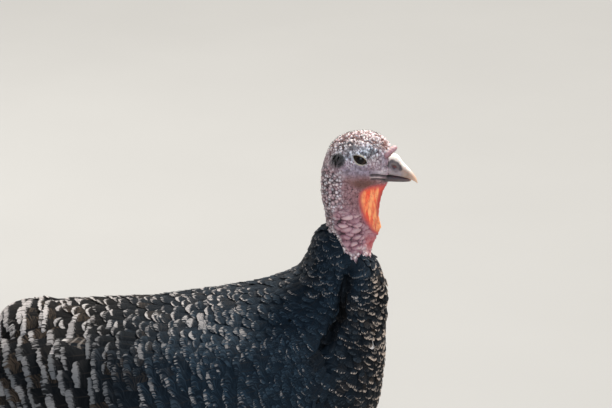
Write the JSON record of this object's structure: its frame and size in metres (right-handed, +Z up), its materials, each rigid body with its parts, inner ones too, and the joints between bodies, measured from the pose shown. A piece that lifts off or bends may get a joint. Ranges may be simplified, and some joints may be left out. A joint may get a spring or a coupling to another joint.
{
  "type": "domestic turkey",
  "caption": "Life-size standing domestic turkey hen, dark feathers with white edges, bare warty head and neck, small snood, folded wings and drooping folded tail.",
  "frame": {"origin": "on the floor under the middle of the bird's box, between its feet and tail", "axes": "+X the way the bird faces, +Y to its left, +Z up"},
  "size_m": [0.6986, 0.2244, 0.6211],
  "materials": {
    "plumage": "dark feathers with a faint blue sheen and white terminal bands",
    "skin": "bare warty skin, pink and grey-blue",
    "wattle": "thin folded orange-red skin",
    "eye": "wet, dark brown",
    "bill_horn": "satin horn, cream to pinkish tan",
    "leg_scales": "scaly skin, dull pinkish brown",
    "claw": "satin dark horn"
  },
  "bodies": {
    "root": {"torso": "plumage", "neck": "plumage", "neck_bare": "skin", "head": "skin", "eye_right": "eye", "eye_left": "eye", "bill_upper": "bill_horn", "bill_lower": "bill_horn", "snood": "skin", "wattle": "wattle", "wing_right": "plumage", "wing_left": "plumage", "tail": "plumage", "tail_coverts": "plumage", "thigh_right": "plumage", "thigh_left": "plumage", "shank_right": "leg_scales", "shank_left": "leg_scales", "foot_right": "leg_scales", "foot_left": "leg_scales", "claw_middle_right": "claw", "claw_inner_right": "claw", "claw_outer_right": "claw", "claw_hind_right": "claw", "claw_middle_left": "claw", "claw_inner_left": "claw", "claw_outer_left": "claw", "claw_hind_left": "claw"}
  },
  "joints": []
}
